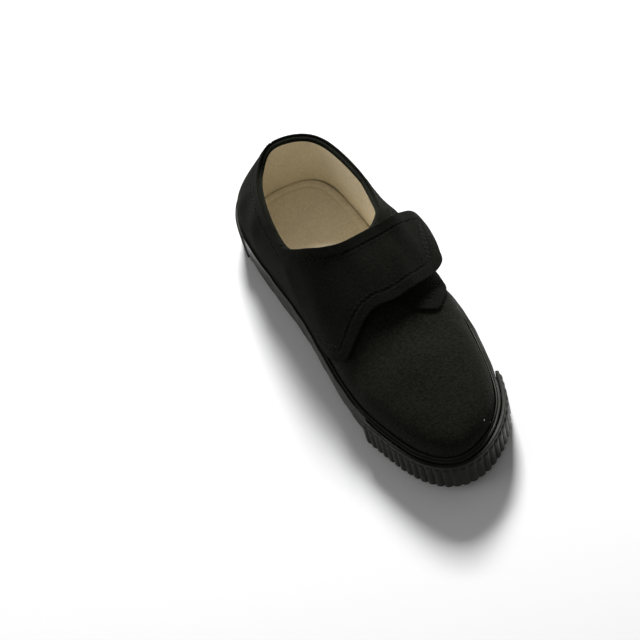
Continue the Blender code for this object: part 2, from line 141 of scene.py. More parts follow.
# Least half thickness that an edge of the upper is rounded for
LEAST_HALF = 0.4 * MM
# How unevenly the rubber band is laid, outwards and upwards
BAND_UNEVEN = 0.09 * MM
BAND_WAVE = 0.10 * MM

# Mesh density
UPPER_COLUMNS = 400
UPPER_ROWS = 64
PANEL_ROWS = 110
STRIP_COLUMNS = 640
REAR_COLUMNS = 170
TAB_COLUMNS = 110
STRAP_COLUMNS = 220
SOLE_COLUMNS = 360
SOLE_ROWS = 110
FOOTBED_COLUMNS = 260
FOOTBED_ROWS = 90
# Points nearer than this are one
WELD = 2e-7
# Reach of the evening out at the toe, where the mesh lines meet
POLE_REACH = 14 * MM

Section = namedtuple("Section", (
    "name", "width", "height", "lateral", "lateral_at", "medial", "medial_at", "ridge", "ridge_at",
    "ridge_top", "lateral_rise", "lateral_crown", "lateral_bulge", "medial_rise", "medial_crown",
    "medial_bulge"))
LAST = (
    Section("heel back", HEEL_WIDTH, CROWN_HEIGHT, -0.046, 0.000, -0.046, 0.000, 0.11, 0.130, 0.97,
            0.45, 0.10, 0.00, 0.45, 0.10, 0.00),
    Section("heel corner", HEEL_WIDTH, CROWN_HEIGHT, 0.294, 0.027, -0.374, 0.023, 0.11, 0.150, 0.98,
            0.45, 0.36, 0.05, 0.42, 0.04, 0.00),
    Section("heel side", HEEL_WIDTH, CROWN_HEIGHT, 0.456, 0.121, -0.544, 0.121, 0.11, 0.210, 1.00,
            0.50, 0.74, 0.22, 0.42, 0.06, 0.00),
    Section("waist", WAIST_WIDTH, CROWN_HEIGHT, 0.470, 0.298, -0.530, 0.301, 0.08, 0.330, 0.96,
            0.60, 0.80, 0.34, 0.52, 0.36, 0.00),
    Section("instep", BALL_WIDTH, INSTEP_HEIGHT, 0.453, 0.478, -0.463, 0.483, 0.00, 0.475, 0.98,
            0.57, 0.75, 0.22, 0.55, 0.55, 0.02),
    Section("ball", BALL_WIDTH, BALL_HEIGHT, 0.499, 0.646, -0.498, 0.690, -0.04, 0.650, 1.02,
            0.50, 0.62, 0.05, 0.50, 0.52, 0.00),
    Section("tread", BALL_WIDTH, TOE_HEIGHT, 0.426, 0.810, -0.439, 0.823, -0.07, 0.760, 1.03,
            0.56, 0.62, 0.00, 0.56, 0.62, 0.00),
    Section("toe side", BALL_WIDTH, TOE_HEIGHT, 0.278, 0.936, -0.318, 0.942, -0.07, 0.836, 0.985,
            0.62, 0.66, 0.00, 0.62, 0.66, 0.00),
    Section("toe tip", BALL_WIDTH, TOE_HEIGHT, -0.057, 1.000, -0.057, 1.000, -0.065, 0.870, 0.96,
            0.66, 0.68, 0.00, 0.66, 0.68, 0.00),
)
TIP = len(LAST) - 1

CollarPoint = namedtuple("CollarPoint", "name station size share across")
COLLAR_LATERAL = (
    CollarPoint("back", 0.00, COLLAR_BACK_HEIGHT, 1.05, None),
    CollarPoint("corner", 1.05, COLLAR_BACK_HEIGHT, 0.99, None),
    CollarPoint("side", 1.95, COLLAR_SIDE_HEIGHT, 1.02, None),
    CollarPoint("waist", 2.65, COLLAR_SIDE_HEIGHT, 1.00, None),
    CollarPoint("dip", 3.15, COLLAR_SIDE_HEIGHT, 1.06, None),
    CollarPoint("front corner", 3.58, None, None, 0.44),
    CollarPoint("front side", 3.82, None, None, 0.18),
    CollarPoint("front", 3.88, None, None, 0.00),
)
COLLAR_MEDIAL = (
    CollarPoint("corner", 1.00, COLLAR_BACK_HEIGHT, 0.98, None),
    CollarPoint("side", 1.80, COLLAR_BACK_HEIGHT, 0.97, None),
    CollarPoint("waist", 2.50, COLLAR_BACK_HEIGHT, 0.98, None),
    CollarPoint("front corner", 3.10, None, None, -0.64),
    CollarPoint("front edge", 3.46, None, None, -0.47),
    CollarPoint("front side", 3.76, None, None, -0.22),
)

Rung = namedtuple("Rung", "name lower_station lower_across upper_station upper_across")
STRAP = (
    Rung("flap root", 4.20, -0.980, 3.06, -0.655),
    Rung("flap foot", 4.46, -0.900, 3.24, -0.585),
    Rung("flap heel", 4.67, -0.775, 3.38, -0.510),
    Rung("flap corner", 4.83, -0.640, 3.50, -0.420),
    Rung("flap front", 4.84, -0.490, 3.62, -0.320),
    Rung("flap neck", 4.77, -0.270, 3.73, -0.200),
    Rung("strap bend", 4.72, -0.080, 3.81, -0.060),
    Rung("ridge", 4.77, 0.080, 3.82, 0.080),
    Rung("over the tab", 4.75, 0.220, 3.79, 0.240),
    Rung("tape start", 4.69, 0.380, 3.72, 0.410),
    Rung("tape end", 4.61, 0.535, 3.63, 0.590),
    Rung("end corner", 4.47, 0.660, 3.58, 0.745),
    Rung("end", 4.30, 0.705, 3.72, 0.820),
)
TAB = (
    Rung("root", 4.20, 0.970, 3.50, 0.500),
    Rung("foot", 4.52, 0.880, 3.60, 0.430),
    Rung("heel", 4.80, 0.720, 3.72, 0.370),
    Rung("side", 4.98, 0.560, 3.84, 0.310),
    Rung("corner", 5.11, 0.440, 3.96, 0.240),
    Rung("front", 5.03, 0.270, 4.10, 0.170),
    Rung("tip", 4.88, 0.170, 4.24, 0.120),
    Rung("end", 4.70, 0.100, 4.38, 0.090),
)
# Stand-off of the strap's underside from the last, by place across the foot
LOW_STAND = SEAT
TAB_STAND = GAP + QUARTER_THICKNESS + SEAT
TAPE_STAND = TAB_STAND + 2 * (TAPE_THICKNESS + GAP) - SEAT
STRAP_STAND = ((-1.0, LOW_STAND), (-0.16, LOW_STAND), (0.04, TAB_STAND), (0.14, TAB_STAND),
               (0.30, TAPE_STAND), (0.52, TAPE_STAND), (0.90, TAPE_STAND + STRAP_FLARE))

# Sections of the rubber strips: outwards and upwards as shares of the strip's thickness and height, and
# the radius of each corner
Corner = namedtuple("Corner", "out up radius rib")
FOXING_SECTION = (
    Corner(0.00, 0.000, 0.2 * MM, 0), Corner(0.98, 0.000, 0.8 * MM, 0), Corner(1.02, 0.500, 5.0 * MM, 0),
    Corner(0.98, 0.968, 0.7 * MM, 0), Corner(0.46, 0.960, 0.25 * MM, 0), Corner(0.40, 1.000, 0.3 * MM, 0),
    Corner(0.05, 1.004, 0.3 * MM, 0), Corner(0.00, 0.960, 0.2 * MM, 0))
BUMPER_SECTION = (
    Corner(0.00, 0.000, 0.2 * MM, 0), Corner(0.70, 0.000, 0.5 * MM, 0), Corner(1.00, 0.050, 0.5 * MM, 1),
    Corner(1.00, 0.830, 0.8 * MM, 1), Corner(1.00, 0.900, 0.6 * MM, 0), Corner(1.20, 0.930, 0.5 * MM, 0),
    Corner(1.10, 1.000, 0.5 * MM, 0), Corner(0.00, 0.990, 0.2 * MM, 0))

# Main creases of the cloth, listed: from one place to another, with a bow sideways in across,
# the width of the fold and its height (a trough is below nought)
Crease = namedtuple("Crease", "name station across to_station to_across bow width height")
VAMP_CREASES = (
    Crease("flex line", 5.45, -0.62, 5.30, 0.40, 0.00, 7.0 * MM, -0.45 * MM),
    Crease("flex line swell", 5.85, -0.60, 5.75, 0.50, 0.00, 9.0 * MM, 0.40 * MM),
    Crease("flap pull", 5.05, -0.55, 5.75, -0.86, 0.03, 4.0 * MM, 0.30 * MM),
    Crease("tab pull", 5.20, 0.42, 5.70, 0.78, 0.02, 4.5 * MM, 0.35 * MM),
    Crease("tab trough", 5.12, 0.25, 5.55, 0.55, 0.02, 4.0 * MM, -0.25 * MM),
    Crease("toe dent", 6.90, -0.30, 6.70, 0.25, 0.00, 9.0 * MM, -0.20 * MM),
)
QUARTER_CREASES = (
    Crease("counter fold", 1.70, -0.97, 1.62, -0.62, 0.00, 4.5 * MM, 0.50 * MM),
    Crease("counter trough", 2.05, -0.97, 1.95, -0.64, 0.00, 4.0 * MM, -0.40 * MM),
    Crease("waist fold", 2.45, -0.97, 2.30, -0.68, 0.00, 5.0 * MM, 0.50 * MM),
    Crease("corner pull", 3.12, -0.70, 3.90, -0.93, 0.02, 4.0 * MM, 0.40 * MM),
    Crease("corner trough", 3.30, -0.62, 4.20, -0.80, 0.02, 4.0 * MM, -0.35 * MM),
    Crease("flap swell", 3.75, -0.45, 4.60, -0.62, 0.00, 8.0 * MM, 0.40 * MM),
    Crease("neck trough", 4.05, -0.22, 4.70, -0.20, 0.00, 5.0 * MM, -0.30 * MM),
    Crease("strap swell", 4.00, 0.10, 4.55, 0.06, 0.00, 8.0 * MM, 0.30 * MM),
    Crease("tape edge", 3.85, 0.30, 4.60, 0.28, 0.00, 3.0 * MM, -0.25 * MM),
    Crease("tape swell", 3.95, 0.48, 4.45, 0.48, 0.00, 6.5 * MM, 0.35 * MM),
    Crease("lateral fold", 2.30, 0.97, 2.20, 0.70, 0.00, 5.0 * MM, 0.40 * MM),
    Crease("lateral trough", 2.90, 0.96, 2.80, 0.66, 0.00, 5.0 * MM, -0.40 * MM),
    Crease("tab fold", 3.60, 0.92, 3.75, 0.55, 0.00, 5.0 * MM, 0.35 * MM),
)

# Two pale fibres caught on the toe, from one place to another
LINT = {"lint_large": ((7.345, 0.745), (7.425, 0.775)), "lint_small": ((7.285, 0.955), (7.325, 0.968))}

# Camera at the photograph's angle to the shoe
CAMERA_AZIMUTH = math.radians(-13.66)
CAMERA_ELEVATION = math.radians(56.67)
CAMERA_ROLL = math.radians(-18.53)
CAMERA_DISTANCE = 1.0
CAMERA_AIM = Vector((ORIGIN_X, ORIGIN_Y - 0.9 * MM, 30 * MM))
CAMERA_SLIDE = (23.7 * MM, 12.1 * MM)
CAMERA_LENS = 114.41

# Stage, in metres
FLOOR_HALF = 4.0
KEY_PLACE = (0.42, 0.82, 0.80)
KEY_SIZE = 0.3
SIDE_PLACE = (-0.9, 0.15, 0.55)
SIDE_SIZE = 0.6


def linear(code):
    """sRGB hex colour as linear red, green and blue."""
    shares = [int(code[k:k + 2], 16) / 255 for k in (1, 3, 5)]
    return tuple(s / 12.92 if s <= 0.04045 else ((s + 0.055) / 1.055) ** 2.4 for s in shares)


class PlimsollLooks(PropertyGroup):
    """Sizes and colours of the plimsoll's finish."""
    hem_width: FloatProperty(
        name="Hem width", description="Distance of the stitch line from a free edge of the cloth",
        default=5.8 * MM, unit="LENGTH")
    stitch_pitch: FloatProperty(
        name="Stitch pitch", description="Distance from one stitch to the next", default=2.8 * MM,
        unit="LENGTH")
    thread_radius: FloatProperty(
        name="Thread radius", description="Half the sewing thread's thickness", default=0.2 * MM,
        unit="LENGTH")
    canvas_colour: FloatVectorProperty(
        name="Canvas", description="Colour of the cotton canvas", subtype="COLOR", size=3,
        default=linear("#1E1F19"))
    rubber_colour: FloatVectorProperty(
        name="Rubber", description="Colour of the band round the sole", subtype="COLOR", size=3,
        default=linear("#1A1A14"))
    lining_colour: FloatVectorProperty(
        name="Lining", description="Colour of the cotton lining and footbed", subtype="COLOR", size=3,
        default=linear("#FBF1DA"))
    key_power: FloatProperty(
        name="Key light", description="Power of the light behind the heel", default=24.0, unit="POWER")
    fill_power: FloatProperty(
        name="Side light", description="Power of the light on the medial side", default=1.2, unit="POWER")
    room_strength: FloatProperty(
        name="Room light", description="Strength of the even light from all round", default=0.2)


def spline(rows, closed=False):
    """Smooth cubic through rows one unit apart; returns the function of the row number."""
    rows = np.asarray(rows, float)
    count = len(rows)
    matrix = 4 * np.eye(count) + np.eye(count, k=1) + np.eye(count, k=-1)
    if closed:
        matrix[0, -1] = matrix[-1, 0] = 1
        steps = 3 * (np.roll(rows, -1, 0) - np.roll(rows, 1, 0))
    else:
        matrix[0, 0] = matrix[-1, -1] = 2
        steps = 3 * np.concatenate([rows[1:2] - rows[:1], rows[2:] - rows[:-2], rows[-1:] - rows[-2:-1]])
    slopes = np.linalg.solve(matrix, steps)

    def at(place):
        place = np.asarray(place, float)
        first = np.floor(place).astype(int)
        first = first % count if closed else np.clip(first, 0, count - 2)
        part = (place - np.floor(place) if closed else place - first)[..., None]
        following = (first + 1) % count
        return ((2 * part + 1) * (1 - part) ** 2 * rows[first] + part * (1 - part) ** 2 * slopes[first]
                + part ** 2 * (3 - 2 * part) * rows[following] + part ** 2 * (part - 1) * slopes[following])
    return at


def around(lateral, medial):
    """Closed spline round the shoe: lateral rows from heel to toe, medial rows back to the heel."""
    return spline(lateral + medial[-2:0:-1], closed=True)


OUTLINE = around([(s.lateral * s.width, s.lateral_at * LAST_LENGTH) for s in LAST],
                 [(s.medial * s.width, s.medial_at * LAST_LENGTH) for s in LAST])
RIDGE = around(*[[(s.ridge * s.width, s.ridge_at * LAST_LENGTH, s.ridge_top * s.height) for s in LAST]] * 2)
SHAPE = around([(s.lateral_rise, s.lateral_crown, s.lateral_bulge) for s in LAST],
               [(s.medial_rise, s.medial_crown, s.medial_bulge) for s in LAST])


def smooth_step(share):
    """Cubic ease from 0 to 1, flat at both ends."""
    share = np.clip(share, 0, 1)
    return share ** 2 * (3 - 2 * share)


def ground(along):
    """Height of the sole's underside over the floor: a low arch at the waist and the toe spring."""
    share = along / LAST_LENGTH
    arch = np.clip((share - ARCH_START) / (ARCH_END - ARCH_START), 0, 1)
    toe = np.clip((share - SPRING_START) / (1 - SPRING_START), 0, 1)
    return WAIST_ARCH * np.sin(math.pi * arch) ** 2 + TOE_SPRING * toe ** 2


def to_world(x, along, z):
    """Shoe coordinates to the frame's: the toe points to -Y."""
    return np.stack([x + ORIGIN_X, LAST_LENGTH / 2 - along + ORIGIN_Y, z], -1)


def ridge_slope(place):
    """Slope of the ridge along the foot, which the sections keep where they meet it."""
    step = 0.002
    inside = np.clip(np.where(place <= TIP, place, 2 * TIP - place), step, TIP - step)
    fall = RIDGE(inside + step) - RIDGE(inside - step)
    return fall[..., 2] / fall[..., 1]


def last_point(station, across):
    """Point of the last: a cubic from the foxing line, upright there, to the ridge, level there."""
    station, across = np.broadcast_arrays(np.asarray(station, float), np.asarray(across, float))
    crossed = (station < 0) | (station > TIP)
    station = np.where(station > TIP, 2 * TIP - station, np.abs(station))
    across = np.where(crossed, -across, across)
    place, rise = np.where(across >= 0, station, 2 * TIP - station), 1 - np.abs(across)
    foot, ridge, shape = OUTLINE(place), RIDGE(place), SHAPE(place)
    inward = ridge[..., :2] - foot
    base = FOXING_HEIGHT + ground(foot[..., 1])
    top = ridge[..., 2]
    low = base + shape[..., 0] * (top - base)
    high = top - ridge_slope(place) * inward[..., 1] * shape[..., 1]
    # Bernstein weights of the four control points
    a, b, c, d = (1 - rise) ** 3, 3 * rise * (1 - rise) ** 2, 3 * rise ** 2 * (1 - rise), rise ** 3
    plan = foot + inward * (c * (1 - shape[..., 1]) + d - b * shape[..., 2])[..., None]
    return to_world(plan[..., 0], plan[..., 1], a * base + b * low + c * high + d * top)


def outward(station, across):
    """Unit normal of the last, from small steps both ways; at the ridge both sides get the same one."""
    step = 0.004
    station, across = np.broadcast_arrays(np.asarray(station, float), np.asarray(across, float))
    # the ridge's own end is a pole, so the normal there is taken a little before it
    station = np.where(np.abs(across) < 0.02, np.minimum(station, TIP - 0.3), station)
    along = last_point(station + step, across) - last_point(station - step, across)
    higher, lower = [last_point(station, np.clip(across + change, -1, 1)) for change in (step, -step)]
    normal = np.cross(along, higher - lower)
    return normal / np.linalg.norm(normal, axis=-1, keepdims=True)


def rim_normal(places):
    """Plan normals of the outline, pointing outwards."""
    step = 0.004
    side = OUTLINE(places + step) - OUTLINE(places - step)
    return np.stack([side[:, 1], -side[:, 0]], 1) / np.linalg.norm(side, axis=1, keepdims=True)


def running(points, axis=0):
    """Running length along one axis of an array of points."""
    steps = np.linalg.norm(np.diff(points, axis=axis), axis=-1)
    start = np.zeros_like(np.take(steps, [0], axis))
    return np.cumsum(np.concatenate([start, steps], axis), axis)


def rim_places(count, out, start, end):
    """Loop places evenly spaced along the outline moved outwards, and that line's length."""
    fine = np.linspace(start, end, 2400)
    run = running(OUTLINE(fine) + rim_normal(fine) * out)
    return np.interp(np.linspace(0, run[-1], count), run, fine), run[-1]


def even_stations(count):
    """Stations from heel to toe, evenly spaced along the mean of the two sides of the outline."""
    fine = np.linspace(0, TIP, 1200)
    run = sum(running(OUTLINE(places)) for places in (fine, 2 * TIP - fine))
    return np.interp(np.linspace(0, run[-1], count), run, fine)


def across_at(station, side, height):
    """Across value where the last is at a height over the floor, by halving."""
    low, high = np.zeros_like(station), np.ones_like(station)
    for _ in range(40):
        middle = (low + high) / 2
        above = last_point(station, side * middle)[..., 2] > height
        low, high = np.where(above, middle, low), np.where(above, high, middle)
    return side * low


def collar_curves():
    """Functions of a share from the back (0) to the front's middle (1), for the lateral and medial side."""
    def knot(row, side):
        if row.size is None:
            return row.station, row.across
        return row.station, float(across_at(np.array(row.station), side, row.size * row.share))
    lateral = [knot(row, 1) for row in COLLAR_LATERAL]
    medial = [knot(row, -1) for row in COLLAR_MEDIAL]
    back = lateral[0]
    # the curve runs on past the heel's back into the other side, so that it is smooth there
    path = [(-medial[0][0], -medial[0][1])] + lateral + medial[::-1] + [(back[0], -back[1])]
    path.append((-lateral[1][0], -lateral[1][1]))
    curve = spline(path)
    front, end = len(lateral), len(lateral) + len(medial) + 1

    def half(start, stop):
        fine = curve(np.linspace(start, stop, 600))
        run = running(last_point(fine[:, 0], fine[:, 1]))
        return lambda share: np.stack([np.interp(np.asarray(share) * run[-1], run, column)
                                       for column in fine.T], -1)
    return half(1, front), half(end, front)


COLLAR = dict(zip((1, -1), collar_curves()))


def distance_to(points, line):
    """Distance of each point of a grid to the nearest point of a line, row by row to spare memory."""
    return np.stack([np.sqrt(((row[:, None] - line[None]) ** 2).sum(-1).min(1)) for row in points])


def fold_heights(points, table):
    """Heights of the creases: each is a bell across its line that fades in and out along it."""
    height = np.zeros(points.shape[:-1])
    for crease in table:
        share = np.linspace(0, 1, 120)
        station = crease.station + (crease.to_station - crease.station) * share
        across = crease.across + (crease.to_across - crease.across) * share
        line = last_point(station, across + crease.bow * np.sin(math.pi * share))
        for row, values in zip(points, height):
            away = ((row[:, None] - line[None]) ** 2).sum(-1)
            nearest = away.argmin(1)
            bell = np.exp(-away[np.arange(len(row)), nearest] / crease.width ** 2)
            values += crease.height * bell * np.sin(math.pi * share[nearest]) ** 1.5
    return height


def slackness(points):
    """Slow waves of cloth that is not drawn quite tight: three sines of the place, 25 to 31 mm long."""
    x, y, z = points[..., 0], points[..., 1], points[..., 2]
    return SLACK * (np.sin(240 * x + 90 * y + 1.0) + np.sin(165 * y - 120 * z + 2.1)
                    + 0.7 * np.sin(105 * x - 170 * y + 90 * z))


def stretch(place, start, full, ease, end):
    """Share that rises from 0 at the start to 1, and falls again from the ease to the end."""
    return smooth_step((place - start) / (full - start)) * (1 - smooth_step((place - ease) / (end - ease)))


def slouch(away, station, across):
    """How far the quarters have settled, along their normal, by distance from the collar's edge.

    The medial heel corner leans in. The lateral side falls in at its edge and bellies out below it.
    """
    medial = -MEDIAL_LEAN * stretch(station, 0.0, 1.2, 1.3, 2.7) * np.exp(-(away / (15 * MM)) ** 2)
    edge = -LATERAL_SAG * stretch(station, 2.7, 3.35, 3.75, 4.2) * np.exp(-(away / (7 * MM)) ** 2)
    edge = edge * smooth_step((across - 0.1) / 0.3)
    belly = LATERAL_BELLY * stretch(station, 2.0, 2.9, 3.9, 4.4)
    belly = belly * np.exp(-((away - 10 * MM) / (7 * MM)) ** 2)
    return np.where(across < 0, medial, edge + belly * smooth_step((across - 0.35) / 0.2))


def collar_line(side):
    """Close points along one side of the collar."""
    return last_point(*COLLAR[side](np.linspace(0, 1, 500)).T)


def edge_roll(distance, radius):
    """Share of the full thickness near an edge: a quarter circle over the radius, then level."""
    return np.sqrt(np.clip(1 - (1 - np.clip(distance / radius, 0, 1)) ** 2, 0, 1))


def close_shares(count):
    """Shares from 0 to 1 that crowd at both ends, so that a rolled edge stays round."""
    edge = np.array([0, 0.0012, 0.003, 0.0055, 0.009, 0.014])
    return np.concatenate([edge, np.linspace(0.02, 0.98, count - 2 * len(edge)), 1 - edge[::-1]])


def grid_quads(rows, columns, closed=False):
    """Corner numbers of a grid's quads, as one array."""
    row = np.arange(rows - 1)[:, None] * columns
    column = np.arange(columns if closed else columns - 1)[None]
    after = (column + 1) % columns
    corners = [row + column, row + after, row + columns + after, row + columns + column]
    return np.stack(corners, -1).reshape(-1, 4)


def add_piece(name, points, quads, finish, nodes, cloth=None, pole=None):
    """Closed piece from points and quads: doubles welded, faces turned outwards by the sign of its volume.

    Round a pole, where the mesh lines meet, the surface is evened out.
    """
    a, b, c, d = [points[quads[:, k]] for k in range(4)]
    volume = (np.cross(a, b) * c).sum() + (np.cross(a, c) * d).sum()
    if volume < 0:
        quads = quads[:, ::-1]
    mesh = bpy.data.meshes.new(name)
    mesh.from_pydata(points.tolist(), [], quads.tolist())
    if cloth is not None:
        layer = mesh.uv_layers.new(name="cloth")
        layer.data.foreach_set("uv", cloth[quads.ravel()].ravel())
    work = bmesh.new()
    work.from_mesh(mesh)
    bmesh.ops.remove_doubles(work, verts=work.verts, dist=WELD)
    if pole is not None:
        near = [vertex for vertex in work.verts if (vertex.co - pole).length < POLE_REACH]
        for _ in range(25):
            bmesh.ops.smooth_vert(work, verts=near, factor=0.5, use_axis_x=True, use_axis_y=True,
                                  use_axis_z=True)
    work.to_mesh(mesh)
    work.free()
    mesh.shade_smooth()
    mesh.set_sharp_from_angle(angle=math.radians(50))
    mesh.materials.append(finish)
    piece = bpy.data.objects.new(name, mesh)
    bpy.context.scene.collection.objects.link(piece)
    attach(piece, "root")
    if nodes:
        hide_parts(*nodes)
    return piece


def add_shell(name, outer, inner, finish, nodes, closed=False, cloth=None, pole=None):
    """Sheet of cloth from its outer and inner face, two grids that meet at their free edges."""
    rows, columns = outer.shape[:2]
    quads = grid_quads(rows, columns, closed)
    points = np.concatenate([outer.reshape(-1, 3), inner.reshape(-1, 3)])
    faces = np.concatenate([quads, quads[:, ::-1] + rows * columns])
    if cloth is not None:
        cloth = np.concatenate([cloth.reshape(-1, 2)] * 2)
    return add_piece(name, points, faces, finish, nodes, cloth, pole)


def cloth_map(points):
    """Thread directions of a grid: running lengths along its columns and rows, in metres."""
    along = running(points, 1).mean(0)
    return np.stack([np.broadcast_to(along, points.shape[:2]), running(points, 0)], -1)


def upper_lines(shares, lowered):
    """Station and across of the upper's mesh lines, from the foxing line to the collar or the ridge.

    Also tells which of them end at the collar. Those stop short of it where the layer is lowered.
    """
    one_side = even_stations(UPPER_COLUMNS // 2 + 1)
    station = np.concatenate([one_side, one_side[-2:0:-1]])
    medial = np.arange(len(station)) >= len(one_side)
    front = float(COLLAR[1](1.0)[0])
    edge = np.where(medial[:, None], COLLAR[-1](station / front), COLLAR[1](station / front))
    ridge = np.stack([np.clip(station, front, TIP), np.zeros_like(station)], -1)
    top = np.where((station < front)[:, None], edge, ridge)
    foot = np.stack([station, np.where(medial, -1.0, 1.0)], -1)
    lines = foot + (top - foot) * np.linspace(0, 1, 20)[:, None, None]
    length = running(last_point(lines[..., 0], lines[..., 1]))[-1]
    top = foot + (top - foot) * np.where(station < front, 1 - lowered / length, 1)[:, None]
    at_collar = station < front
    at_collar |= np.roll(at_collar, 1) | np.roll(at_collar, -1)
    return foot + (top - foot) * shares[:, None, None], at_collar


def upper_grids(outer, inner, shares, folds, turned=0.0, lowered=0.0):
    """Outer and inner face of one layer of the upper, standing upright below the foxing line.

    A layer can be turned in along the collar, which makes it thicker there, over one that stops lower.
    """
    lines, at_collar = upper_lines(shares, lowered)
    points, normal = last_point(lines[..., 0], lines[..., 1]), outward(lines[..., 0], lines[..., 1])
    away = distance_to(points, np.concatenate([collar_line(side) for side in (1, -1)]))
    lift = folds(points) * smooth_step(away / (6 * MM)) + slouch(away, lines[..., 0], lines[..., 1])
    inner = inner - turned * (1 - smooth_step((away - RIM_TURN) / RIM_EASE))
    middle, half = (outer + inner) / 2, (outer - inner) / 2
    roll = np.maximum(edge_roll(away - lowered, np.maximum(half, LEAST_HALF)), 0.05)
    roll[-1, at_collar] = 0
    faces = [points + normal * (middle + lift + side * half * roll)[..., None] for side in (1, -1)]
    drop = (OUTSOLE_THICKNESS + GAP - FOXING_HEIGHT) * np.array([1, 0.98, 0.8, 0.6, 0.4, 0.2])
    bands = []
    for face, side in zip(faces, (1, -1)):
        band = np.repeat(face[:1], len(drop), axis=0)
        band[..., 2] += drop[:, None]
        bands.append(band)
    # the bottom edges meet, so that the layer is closed
    bands[0][0] = bands[1][0] = (bands[0][0] + bands[1][0]) / 2
    return [np.concatenate([band, face]) for band, face in zip(bands, faces)]


def panel_places(side, rungs, columns):
    """Station and across of a quarter's mesh lines: the rear from foxing to collar, then the rungs."""
    root = rungs[0]
    share = np.concatenate([[0, 0.002, 0.005], np.linspace(0.01, 1, columns[0] - 3)])
    station = HEEL_SEAM + (root.lower_station - HEEL_SEAM) * share
    foot = last_point(station, np.full_like(station, side))[:, 2]
    lower = np.stack([station, across_at(station, side, foot + GAP)], -1)
    blend = smooth_step((share - 0.9) / 0.1)
    lower[:, 1] += (root.lower_across - lower[-1, 1]) * blend
    fine = COLLAR[side](np.linspace(0, 1, 600))
    stop = np.argmin(np.hypot(fine[:, 0] - root.upper_station, fine[:, 1] - root.upper_across)) / 599
    upper = COLLAR[side](share * stop)
    upper[0, 0] = HEEL_SEAM
    last = len(rungs) - 1
    end = last - last * np.array([0.010, 0.0065, 0.004, 0.002, 0.0008, 0])
    rung_share = np.concatenate([np.linspace(0, end[0], columns[1])[1:-1], end])
    table = spline([row[1:] for row in rungs])(rung_share)
    lower = np.concatenate([lower, table[:, :2]])
    upper = np.concatenate([upper, table[:, 2:]])
    return lower + (upper - lower) * close_shares(PANEL_ROWS)[:, None, None], len(share)


Cloth = namedtuple("Cloth", "outer normal inset free_start")


def quarter_panel(name, side, rungs, columns, stand_off, finish, node, looks):
    """Quarter with turned and stitched free edges.

    The outer face is the last moved out by the stand-off and the cloth's thickness, plus the creases,
    a raised hem band, the furrow that the stitches pull in and the puckers along it.
    """
    places, rear = panel_places(side, rungs, columns)
    base, normal = last_point(places[..., 0], places[..., 1]), outward(places[..., 0], places[..., 1])
    upper_edge, lower_edge, end_edge = base[-1], base[0, rear - 1:], base[:, -1]
    # the lower edge starts as a free edge where it leaves the foxing
    free = np.concatenate([upper_edge, lower_edge[8:], end_edge])
    inset = distance_to(base, free)
    settled = slouch(distance_to(base, collar_line(side)), places[..., 0], side * np.abs(places[..., 1]))
    whole = np.concatenate([free, base[0], base[:, 0]])
    roll = edge_roll(distance_to(base, whole), QUARTER_THICKNESS * 0.5)
    along = running(base, 1)
    folds = fold_heights(base, QUARTER_CREASES) + slackness(base)
    beside = (inset - looks.hem_width) / MM
    band = HEM_BAND * (0.5 - 0.5 * np.tanh((beside - 1.0) / 0.5))
    furrow = STITCH_FURROW * np.exp(-(beside / 0.55) ** 2)
    pucker = np.cos(2 * math.pi * along / looks.stitch_pitch) * STITCH_PUCKER
    pucker += np.sin(along * 520) * np.sin(along * 210 + 1.3) * HEM_PUCKER
    relief = band - furrow + pucker * np.exp(-(beside / 2.2) ** 2)
    lift = np.maximum(folds * smooth_step(inset / (7 * MM)), 0) + np.minimum(folds, 0) * 0.5
    middle = stand_off(places) + settled + QUARTER_THICKNESS / 2
    half = QUARTER_THICKNESS / 2 * roll
    outer = base + normal * (middle + half + (relief + lift) * roll)[..., None]
    inner = base + normal * (middle - half + np.maximum(lift, 0) * roll)[..., None]
    # both faces meet on the edge itself
    add_shell(name, outer, inner, finish, [node], cloth=cloth_map(base))
    return Cloth(outer, normal, inset, rear)


def strap_stand(places):
    """Stand-off of the strap's underside, eased between the places in the table.

    The strap hugs the collar's front edge behind the tab. Its own lower edge bridges the dip beside the
    tab, and the flap's front edge curls up a little.
    """
    station, across = places[..., 0], places[..., 1]
    out = np.full(places.shape[:-1], STRAP_STAND[0][1])
    for (start, low), (stop, high) in zip(STRAP_STAND, STRAP_STAND[1:]):
        out = out + (high - low) * smooth_step((across - start) / (stop - start))
    hug = stretch(across, -0.1, 0.1, 0.24, 0.42) * (1 - smooth_step((station - 3.8) / 0.5))
    out = out * (1 - 0.8 * hug)
    bridge = STRAP_BRIDGE * smooth_step((station - 3.9) / 0.7) * stretch(across, -0.50, -0.14, 0.12, 0.45)
    curl = FLAP_CURL * smooth_step((station - 4.3) / 0.4) * stretch(across, -1.0, -0.8, -0.5, -0.3)
    return out + bridge + curl


def contour(cloth, level, back_only=False):
    """Line on a panel's outer face at a distance from its free edges: up one side and back along the other.

    In each column the crossing nearest the upper edge and the one nearest the lower edge are found, by
    straight interpolation between mesh rows. It can be the way back alone, along the lower edge.
    """
    inside = cloth.inset >= level
    columns = np.flatnonzero(inside.any(0))
    columns = columns[columns > 3]
    rows = len(cloth.inset)
    highest = rows - 1 - inside[::-1].argmax(0)
    lowest = inside.argmax(0)
    lines = []
    for found, step in ((highest, 1), (lowest, -1)):
        kept = columns if step > 0 else columns[(columns >= cloth.free_start + 8)][::-1]
        row = found[kept]
        beyond = np.clip(row + step, 0, rows - 1)
        here, there = cloth.inset[row, kept], cloth.inset[beyond, kept]
        share = np.clip((here - level) / np.where(here == there, 1, here - there), 0, 1)[:, None]
        lines.append([grid[row, kept] * (1 - share) + grid[beyond, kept] * share
                      for grid in (cloth.outer, cloth.normal)])
    if back_only:
        return lines[1]
    return [np.concatenate([lines[0][k], lines[1][k]]) for k in (0, 1)]


